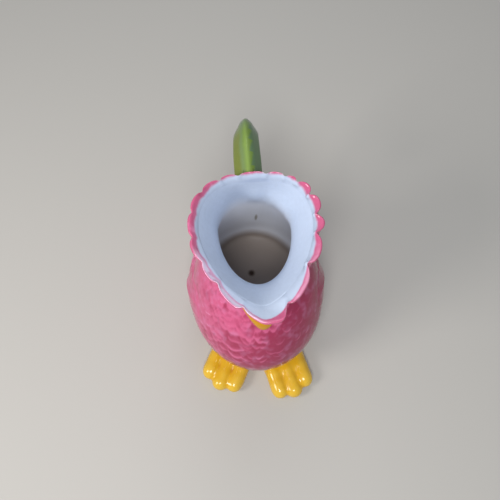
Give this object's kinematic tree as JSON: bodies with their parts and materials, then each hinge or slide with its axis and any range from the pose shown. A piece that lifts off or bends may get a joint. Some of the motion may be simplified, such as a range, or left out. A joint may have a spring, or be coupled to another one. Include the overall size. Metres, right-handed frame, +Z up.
{
  "type": "parrot jug",
  "caption": "Glazed earthenware pouring jug shaped as a standing parrot, with a scalloped lip, a beak under the spout, feet and a looped tail-feather handle.",
  "frame": {"origin": "middle of the flat base that the jug stands on", "axes": "+Z up, -Y the way the bird looks and the spout pours, +Y the handle, +X the bird's left"},
  "size_m": [0.1382, 0.2365, 0.2],
  "materials": {
    "pink_glaze": "gloss",
    "yellow_glaze": "gloss",
    "green_glaze": "gloss",
    "black_glaze": "gloss"
  },
  "bodies": {
    "root": {"body_shell": "pink_glaze", "scalloped_lip": "pink_glaze", "upper_beak": "yellow_glaze", "lower_beak": "yellow_glaze", "left_eye": "black_glaze", "right_eye": "black_glaze", "left_wing": "pink_glaze", "right_wing": "pink_glaze", "left_foot": "yellow_glaze", "right_foot": "yellow_glaze", "tail_handle": "green_glaze"}
  },
  "joints": []
}
